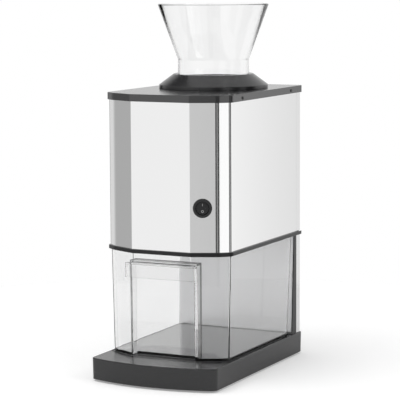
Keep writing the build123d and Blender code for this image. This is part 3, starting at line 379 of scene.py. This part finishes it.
def clear_plastic(name, tint, density, roughness=0.015):
    """Moulded clear plastic: light passes, and the colour deepens where it goes through more plastic."""
    material = bpy.data.materials.new(name)
    add, join = new_tree(material)
    body = add("ShaderNodeBsdfPrincipled")
    body.inputs["Base Color"].default_value = WHITE
    body.inputs["IOR"].default_value = PLASTIC_IOR
    body.inputs["Transmission Weight"].default_value = 1.0
    where = add("ShaderNodeTexCoord")
    noise = add("ShaderNodeTexNoise")
    noise.inputs["Scale"].default_value = HAZE_GRAIN
    join(where.outputs["Object"], noise.inputs["Vector"])
    rough = add("ShaderNodeMapRange")
    rough.inputs["To Min"].default_value = roughness / 2
    rough.inputs["To Max"].default_value = roughness * 2
    join(noise.outputs["Fac"], rough.inputs["Value"])
    join(rough.outputs["Result"], body.inputs["Roughness"])
    through = add("ShaderNodeBsdfTransparent", Color=SHADOW_COLOUR)
    shadow = add("ShaderNodeLightPath").outputs["Is Shadow Ray"]
    inside = add("ShaderNodeVolumeAbsorption", Color=(*tint, 1), Density=density)
    out = add("ShaderNodeOutputMaterial")
    join(chosen(add, join, shadow, body.outputs[0], through.outputs[0]), out.inputs["Surface"])
    join(inside.outputs[0], out.inputs["Volume"])
    return material


FINISH["clear_plastic"] = clear_plastic("clear_moulding", tint=(0.50, 0.51, 0.51), density=30)
print("finishes:", len(FINISH))

# %% [markdown]
# ## Dressing the solids
# A solid model has razor edges and flat triangles. Real sheet and mouldings have small rounds that catch
# the light. Each visible solid is copied, its triangles merged, its flat areas joined, its curved areas
# shaded smooth, and a thin bevel put on its sharp edges. The new strips would pull the shading of the flat
# areas beside them out of true, so the normals are weighted by area. The copy stands for the solid.

# %% Copy a solid and round its edges
MERGE_WITHIN = 2e-6                  # metres
FLAT_WITHIN = math.radians(0.6)
SHARP_FROM = math.radians(32)        # from here on an edge is sharp
FACET_FROM = math.radians(20)        # the same, for a piece whose facets meet at blunt angles
BEVEL_STEPS = 2
AREA_WEIGHT = 90                     # large faces rule the shading; 50 is even


def dress(node, bevel, sharp):
    """A smooth copy of a solid with its sharp edges rounded by bevel metres; it replaces the solid."""
    mesh = NODES[node].data.copy()
    mesh.name = node + "_dressed"
    shape = bmesh.new()
    shape.from_mesh(mesh)
    bmesh.ops.remove_doubles(shape, verts=shape.verts, dist=MERGE_WITHIN)
    bmesh.ops.dissolve_limit(
        shape, angle_limit=FLAT_WITHIN, verts=shape.verts, edges=shape.edges, use_dissolve_boundaries=False
    )
    bmesh.ops.recalc_face_normals(shape, faces=shape.faces)
    shape.to_mesh(mesh)
    shape.free()
    mesh.materials.clear()
    mesh.materials.append(FINISH[SLOT_OF[node]])
    piece = in_scene(node + "_dressed", mesh)
    for face in mesh.polygons:
        face.use_smooth = True
    mesh.set_sharp_from_angle(angle=sharp)
    rounding = piece.modifiers.new("rounding", "BEVEL")
    rounding.width = bevel
    rounding.segments = BEVEL_STEPS
    rounding.limit_method = "ANGLE"
    rounding.angle_limit = sharp
    rounding.use_clamp_overlap = True
    flatness = piece.modifiers.new("flatness", "WEIGHTED_NORMAL")
    flatness.keep_sharp = True
    flatness.weight = AREA_WEIGHT
    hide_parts(node)
    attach(piece, BODY_OF[node])


# the bevel of each node, in metres
BEVELS = {
    "steel_wrap": 0.00025, "rear_cover": 0.00025, "lid": 0.0003, "bay_frame": 0.0003, "bay_wall": 0.0002,
    "base": 0.0005, "rubber_feet": 0.0005, "sole_plate": 0.0005, "hopper_collar": 0.0005,
    "bin_body": 0.0005, "bin_grip": 0.0004, "switch_body": 0.0002, "switch_rocker": 0.0003,
    "crusher_blades": 0.0003, "comb_front": 0.0004, "comb_rear": 0.0004, "rotor_shaft": 0.0003,
    "blade_spacers": 0.0003, "throat_seat": 0.0004, "crusher_duct": 0.0005, "cord_bushing": 0.0006,
}
FACETED = {"steel_wrap", "lid", "bay_frame", "base", "bin_body"}
for node, bevel in BEVELS.items():
    dress(node, bevel, FACET_FROM if node in FACETED else SHARP_FROM)
print("dressed:", len(BEVELS))

# %% [markdown]
# ## Finishes on the other solids
# Small pieces inside the machine are right as they are, such as gears, bushes and magnets. They keep their
# solid and only take their finish, since a copy would bring nothing but more to keep in step. The hopper
# and the screws take theirs here too, and are replaced in the next steps.

# %% Finish the rest
for node, piece in NODES.items():
    if node not in BEVELS:
        piece.data.materials.clear()
        piece.data.materials.append(FINISH[SLOT_OF[node]])
print("finished without a copy:", len(NODES) - len(BEVELS))

# %% [markdown]
# ## The hopper, spun by Geometry Nodes
# The hopper is turned: its wall is a short neck and a long cone, swept round one axis. A solid model's
# triangles are too coarse for clear plastic, which bends light at every facet. So the hopper follows its
# rule instead: a node tree takes the radii and heights, lays out the six corners of the wall's section,
# rounds them, and sweeps the section round a circle of many small steps.

# %% Read the hopper's section from the solid
NECK_BAND = 0.001        # metres above the hopper's lowest point, all of it neck
SAME_RADIUS = 1e-5

low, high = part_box("hopper")
hopper_centre = ((low[0] + high[0]) / 2, (low[1] + high[1]) / 2)
section = [
    (math.hypot(vertex.co.x - hopper_centre[0], vertex.co.y - hopper_centre[1]), vertex.co.z)
    for vertex in NODES["hopper"].data.vertices
]
hopper_low, hopper_top = low[2], high[2]
rim_radius = max(radius for radius, z in section)
neck_radius = max(radius for radius, z in section if z < hopper_low + NECK_BAND)
waist_height = max(z for radius, z in section if abs(radius - neck_radius) < SAME_RADIUS)
wall = neck_radius - min(radius for radius, z in section)
print("hopper: neck", round(neck_radius, 4), "rim", round(rim_radius, 4), "wall", round(wall, 4))

# %% The spinning tree: its inputs and the six corners
def geometry_tree(name, sizes):
    """A node group with named sizes; returns the group, its input sockets, an adder and a joiner."""
    group = bpy.data.node_groups.new(name, "GeometryNodeTree")
    group.interface.new_socket("Geometry", in_out="INPUT", socket_type="NodeSocketGeometry")
    for label in sizes:
        group.interface.new_socket(label, in_out="INPUT", socket_type="NodeSocketFloat")
    group.interface.new_socket("Finish", in_out="INPUT", socket_type="NodeSocketMaterial")
    group.interface.new_socket("Geometry", in_out="OUTPUT", socket_type="NodeSocketGeometry")

    def add(kind, **settings):
        node = group.nodes.new(kind)
        for key, value in settings.items():
            setattr(node, key, value)
        return node

    return group, add("NodeGroupInput").outputs, add, group.links.new


SPIN_SIZES = ("Neck Radius", "Rim Radius", "Wall", "Bottom", "Waist", "Top", "Round", "Steps")
spin, size_of, add, join = geometry_tree("spun_wall", SPIN_SIZES)


def less(a, b):
    """A node that takes socket b from socket a."""
    node = add("ShaderNodeMath", operation="SUBTRACT")
    join(a, node.inputs[0])
    join(b, node.inputs[1])
    return node.outputs[0]


def times(socket, factor):
    """A node that scales a size."""
    node = add("ShaderNodeMath", operation="MULTIPLY")
    node.inputs[1].default_value = factor
    join(socket, node.inputs[0])
    return node.outputs[0]


neck_in = less(size_of["Neck Radius"], size_of["Wall"])
rim_in = less(size_of["Rim Radius"], size_of["Wall"])
corners = (
    (size_of["Neck Radius"], size_of["Bottom"]), (size_of["Neck Radius"], size_of["Waist"]),
    (size_of["Rim Radius"], size_of["Top"]), (rim_in, size_of["Top"]),
    (neck_in, size_of["Waist"]), (neck_in, size_of["Bottom"]),
)
pick = add("GeometryNodeIndexSwitch", data_type="VECTOR")
while len(pick.index_switch_items) < len(corners):
    pick.index_switch_items.new()
index = add("GeometryNodeInputIndex")
join(index.outputs[0], pick.inputs["Index"])
for number, (radius, height) in enumerate(corners):
    spot = add("ShaderNodeCombineXYZ")
    join(less(radius, size_of["Neck Radius"]), spot.inputs["X"])
    join(times(height, -1), spot.inputs["Y"])
    join(spot.outputs[0], pick.inputs[number + 1])
print("corners of the wall's section:", len(corners))

# %% The spinning tree: round the section and sweep it
ROUND_STEPS = 6    # points on each rounded corner


def end_tree(geometry):
    """Makes instances real, gives them the finish and ends the tree."""
    real = add("GeometryNodeRealizeInstances")
    join(geometry, real.inputs[0])
    coated = add("GeometryNodeSetMaterial")
    join(real.outputs[0], coated.inputs["Geometry"])
    join(size_of["Finish"], coated.inputs["Material"])
    join(coated.outputs[0], add("NodeGroupOutput").inputs[0])


ring = add("GeometryNodeMeshCircle")
ring.inputs["Vertices"].default_value = len(corners)
laid = add("GeometryNodeSetPosition")
join(ring.outputs["Mesh"], laid.inputs["Geometry"])
join(pick.outputs[0], laid.inputs["Position"])
outline = add("GeometryNodeMeshToCurve")
join(laid.outputs[0], outline.inputs["Mesh"])
rounded = add("GeometryNodeFilletCurve")
rounded.mode = "POLY"
rounded.inputs["Count"].default_value = ROUND_STEPS
rounded.inputs["Limit Radius"].default_value = True
join(outline.outputs[0], rounded.inputs["Curve"])
join(size_of["Round"], rounded.inputs["Radius"])
path = add("GeometryNodeCurvePrimitiveCircle")
join(size_of["Steps"], path.inputs["Resolution"])
join(size_of["Neck Radius"], path.inputs["Radius"])
upright = add("GeometryNodeSetCurveNormal", mode="Z_UP")
join(path.outputs["Curve"], upright.inputs["Curve"])
swept = add("GeometryNodeCurveToMesh")
join(upright.outputs[0], swept.inputs["Curve"])
join(rounded.outputs[0], swept.inputs["Profile Curve"])
end_tree(swept.outputs[0])
print("nodes in the spinning tree:", len(spin.nodes))

# %% Spin the hopper
SPIN_STEPS = 160.0
ROUND_SHARE = 0.32            # of the wall's thickness
SPUN_MERGE = 1e-6             # metres, at the seam of the sweep
SPUN_SHARP = math.radians(35)


def grown(name, base, group, values):
    """Runs a group on a mesh and returns a plain object of the result, at the origin."""
    holder = in_scene(name + "_maker", base)
    maker = holder.modifiers.new("maker", "NODES")
    maker.node_group = group
    for item in group.interface.items_tree:
        if item.in_out == "INPUT" and item.name in values:
            maker[item.identifier] = values[item.name]
    view = bpy.context.evaluated_depsgraph_get()
    mesh = bpy.data.meshes.new_from_object(holder.evaluated_get(view))
    mesh.name = name
    holder.modifiers.remove(maker)
    bpy.data.objects.remove(holder)
    return in_scene(name, mesh)


hopper = grown("hopper_spun", bpy.data.meshes.new("hopper_start"), spin, {
    "Neck Radius": neck_radius, "Rim Radius": rim_radius, "Wall": wall, "Bottom": hopper_low,
    "Waist": waist_height, "Top": hopper_top, "Round": wall * ROUND_SHARE, "Steps": SPIN_STEPS,
    "Finish": FINISH["clear_plastic"],
})
shape = bmesh.new()
shape.from_mesh(hopper.data)
bmesh.ops.translate(shape, verts=shape.verts, vec=(*hopper_centre, 0))
bmesh.ops.remove_doubles(shape, verts=shape.verts, dist=SPUN_MERGE)
bmesh.ops.recalc_face_normals(shape, faces=shape.faces)
shape.to_mesh(hopper.data)
print("hopper faces:", len(shape.faces), "volume", round(shape.calc_volume() * 1e6, 1), "cm3")
shape.free()
for face in hopper.data.polygons:
    face.use_smooth = True
hopper.data.set_sharp_from_angle(angle=SPUN_SHARP)
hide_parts("hopper")
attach(hopper, BODY_OF["hopper"])

# %% [markdown]
# ## Screw heads, repeated by Geometry Nodes
# A solid model shows a screw as a plain stepped cylinder. A real one has a tapered head with a cross in it.
# Every screw of one kind is the same piece, so one tree makes the kind: it builds a head and a shank from
# four sizes, cuts the cross, and puts a copy on each point of a small cloud, turned along its direction.

# %% Find each screw of a node
SCREW_NODES = [name for name in NODES if name.endswith("_screws")]


def loose_parts(node):
    """The separate solids of a node, each as a list of its points."""
    shape = bmesh.new()
    shape.from_mesh(NODES[node].data)
    bmesh.ops.remove_doubles(shape, verts=shape.verts, dist=MERGE_WITHIN)
    unseen, parts = set(shape.verts), []
    while unseen:
        front = [unseen.pop()]
        points = []
        while front:
            vertex = front.pop()
            points.append(vertex.co.copy())
            for edge in vertex.link_edges:
                other = edge.other_vert(vertex)
                if other in unseen:
                    unseen.remove(other)
                    front.append(other)
        parts.append(points)
    shape.free()
    return parts


screw_count = sum(len(loose_parts(node)) for node in SCREW_NODES)
print("kinds of screw:", len(SCREW_NODES), "with", screw_count, "screws")

# %% Measure a screw
RIM_SHARE = 0.9    # a point this far out, of the head's radius, is on the head's rim
ON_AXIS = 1e-4     # metres


def measure_screw(points):
    """Where a screw's head sits and which way it looks, with the radii and lengths of head and shank."""
    low = Vector([min(p[k] for p in points) for k in range(3)])
    high = Vector([max(p[k] for p in points) for k in range(3)])
    size, middle = high - low, (low + high) / 2
    axis = min(range(3), key=lambda k: abs(size[(k + 1) % 3] - size[(k + 2) % 3]))
    across = [math.sqrt(sum((p[k] - middle[k]) ** 2 for k in range(3) if k != axis)) for p in points]
    head_radius = max(across)
    rims = [p[axis] for p, r in zip(points, across) if r > RIM_SHARE * head_radius]
    at_high = high[axis] - max(rims) < min(rims) - low[axis]
    way = Vector([float(k == axis) for k in range(3)]) * (1 if at_high else -1)
    head_height = max(rims) - min(rims)
    seat = middle.copy()
    seat[axis] = min(rims) if at_high else max(rims)
    shank_radius = min(r for r in across if r > ON_AXIS)
    return seat, way, head_radius, head_height, shank_radius, size[axis] - head_height


for node in SCREW_NODES:
    print(node, "looks along", [round(v) for v in measure_screw(loose_parts(node)[0])[1]])

# %% The screw tree: a head with a cross, and its shank
HEAD_SIDES = 28
SHANK_SIDES = 20
TOP_SHARE = 0.82        # radius at the head's top, of its largest
CROSS_LENGTH = 1.1      # of the head's radius, as the width is
CROSS_WIDTH = 0.24
CROSS_DEPTH = 1.1       # of the head's height; half of it lies in the head

screw_tree, size_of, add, join = geometry_tree(
    "placed_screws", ("Head Radius", "Head Height", "Shank Radius", "Length")
)


def vector_of(x, y, z):
    """A node that joins three sizes into a vector; a number stands for itself."""
    node = add("ShaderNodeCombineXYZ")
    for socket, value in zip(node.inputs, (x, y, z)):
        if isinstance(value, (int, float)):
            socket.default_value = value
        else:
            join(value, socket)
    return node.outputs[0]


head = add("GeometryNodeMeshCone")
head.inputs["Vertices"].default_value = HEAD_SIDES
join(size_of["Head Radius"], head.inputs["Radius Bottom"])
join(times(size_of["Head Radius"], TOP_SHARE), head.inputs["Radius Top"])
join(size_of["Head Height"], head.inputs["Depth"])
cut = add("GeometryNodeMeshBoolean", operation="DIFFERENCE", solver="EXACT")
join(head.outputs["Mesh"], cut.inputs["Mesh 1"])
for quarter in (0, math.pi / 2):
    arm = add("GeometryNodeMeshCube")
    arm_length = times(size_of["Head Radius"], CROSS_LENGTH)
    arm_width = times(size_of["Head Radius"], CROSS_WIDTH)
    arm_depth = times(size_of["Head Height"], CROSS_DEPTH)
    join(vector_of(arm_length, arm_width, arm_depth), arm.inputs["Size"])
    raised = add("GeometryNodeTransform")
    raised.inputs["Rotation"].default_value = (0, 0, quarter)
    join(arm.outputs["Mesh"], raised.inputs["Geometry"])
    join(vector_of(0, 0, size_of["Head Height"]), raised.inputs["Translation"])
    join(raised.outputs[0], cut.inputs["Mesh 2"])
shank = add("GeometryNodeMeshCylinder")
shank.inputs["Vertices"].default_value = SHANK_SIDES
join(size_of["Shank Radius"], shank.inputs["Radius"])
join(size_of["Length"], shank.inputs["Depth"])
lowered = add("GeometryNodeTransform")
join(shank.outputs["Mesh"], lowered.inputs["Geometry"])
join(vector_of(0, 0, times(size_of["Length"], -0.5)), lowered.inputs["Translation"])
whole = add("GeometryNodeJoinGeometry")
join(lowered.outputs[0], whole.inputs[0])
join(cut.outputs["Mesh"], whole.inputs[0])
print("nodes that shape a screw:", len(screw_tree.nodes))

# %% The screw tree: a copy on each point
way = add("GeometryNodeInputNamedAttribute", data_type="FLOAT_VECTOR")
way.inputs["Name"].default_value = "way"
aim = add("FunctionNodeAlignRotationToVector", axis="Z")
join(way.outputs["Attribute"], aim.inputs["Vector"])
copies = add("GeometryNodeInstanceOnPoints")
join(size_of["Geometry"], copies.inputs["Points"])
join(whole.outputs[0], copies.inputs["Instance"])
join(aim.outputs[0], copies.inputs["Rotation"])
end_tree(copies.outputs[0])
print("nodes in the screw tree:", len(screw_tree.nodes))

# %% Replace every screw node
SCREW_SHARP = math.radians(30)

for node in SCREW_NODES:
    found = [measure_screw(points) for points in loose_parts(node)]
    cloud = bpy.data.meshes.new(node + "_points")
    cloud.from_pydata([screw[0] for screw in found], [], [])
    directions = cloud.attributes.new("way", "FLOAT_VECTOR", "POINT")
    for spot, screw in zip(directions.data, found):
        spot.vector = screw[1]
    head_radius, head_height, shank_radius, length = found[0][2:]
    screws = grown(node + "_heads", cloud, screw_tree, {
        "Head Radius": head_radius, "Head Height": head_height, "Shank Radius": shank_radius,
        "Length": length, "Finish": FINISH[SLOT_OF[node]],
    })
    screws.data.set_sharp_from_angle(angle=SCREW_SHARP)
    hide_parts(node)
    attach(screws, BODY_OF[node])
    print(node, len(found), "heads of", round(head_radius * 2000, 2), "mm")

# %% [markdown]
# ## The marks on the rocker
# The rocker carries the two usual signs, a line for on and a circle for off. They are thin raised ink,
# laid on the rocker's flat face, whose place and slant are read from the solid. Ink as a mesh rather than
# as colour in the rocker's material keeps a crisp edge from near, and stays in place when the rocker tilts.

# %% Find the rocker's face
FACET_TURN = math.radians(24.5)    # the facet that carries the switch, turned from the front
ABOUT_OUTWARD = 0.9                # cosine to the facet's direction
SAME_PLANE = 0.9999                # cosine to the rocker's own direction

facet_out = Vector((math.sin(FACET_TURN), -math.cos(FACET_TURN), 0))
rocker_mesh = NODES["switch_rocker"].data
outward = [face for face in rocker_mesh.polygons if face.normal.dot(facet_out) > ABOUT_OUTWARD]
face_out = max(outward, key=lambda face: face.area).normal.copy()
flat = [face for face in outward if face.normal.dot(face_out) > SAME_PLANE]
area = sum(face.area for face in flat)
rocker_centre = sum((face.center * face.area for face in flat), Vector()) / area
across = Vector((0, 0, 1)).cross(face_out).normalized()
upward = face_out.cross(across)
print("rocker looks", [round(v, 3) for v in face_out], "from", [round(v, 4) for v in rocker_centre])

# %% Draw the marks
MARK_UP = 0.0040         # metres from the rocker's middle to each sign
MARK_SIZE = 0.0031
MARK_LINE = 0.0006
MARK_THICK = 0.00008
CIRCLE_STEPS = 36


def ink(name, rows, place):
    """A closed strip of ink from rows of four corners each, laid on the rocker at a height."""
    mesh = bpy.data.meshes.new(name)
    spots = [
        rocker_centre + across * x + upward * (y + place) + face_out * z
        for row in rows for x, y, z in row
    ]
    faces = []
    for row in range(len(rows)):
        here, there = 4 * row, 4 * ((row + 1) % len(rows))
        for side in range(4):
            beside = (side + 1) % 4
            faces.append((here + side, here + beside, there + beside, there + side))
    if len(rows) == 2:    # a straight strip has two ends, where a ring runs on into itself
        faces = faces[:4] + [(3, 2, 1, 0), (4, 5, 6, 7)]
    mesh.from_pydata(spots, [], faces)
    shape = bmesh.new()
    shape.from_mesh(mesh)
    bmesh.ops.recalc_face_normals(shape, faces=shape.faces)
    shape.to_mesh(mesh)
    shape.free()
    mesh.materials.append(FINISH["sign_ink"])
    sign = in_scene(name, mesh)
    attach(sign, BODY_OF["switch_rocker"])
    print(name, "has", len(faces), "faces")


half = MARK_LINE / 2
line_rows = [
    [(-half, y, 0), (half, y, 0), (half, y, MARK_THICK), (-half, y, MARK_THICK)]
    for y in (-MARK_SIZE / 2, MARK_SIZE / 2)
]
inner, outer = MARK_SIZE / 2 - MARK_LINE, MARK_SIZE / 2
ring_rows = []
for step in range(CIRCLE_STEPS):
    angle = math.tau * step / CIRCLE_STEPS
    ring_rows.append([
        (math.cos(angle) * r, math.sin(angle) * r, z)
        for r, z in ((inner, 0), (outer, 0), (outer, MARK_THICK), (inner, MARK_THICK))
    ])
ink("rocker_sign_on", line_rows, MARK_UP)
ink("rocker_sign_off", ring_rows, -MARK_UP)
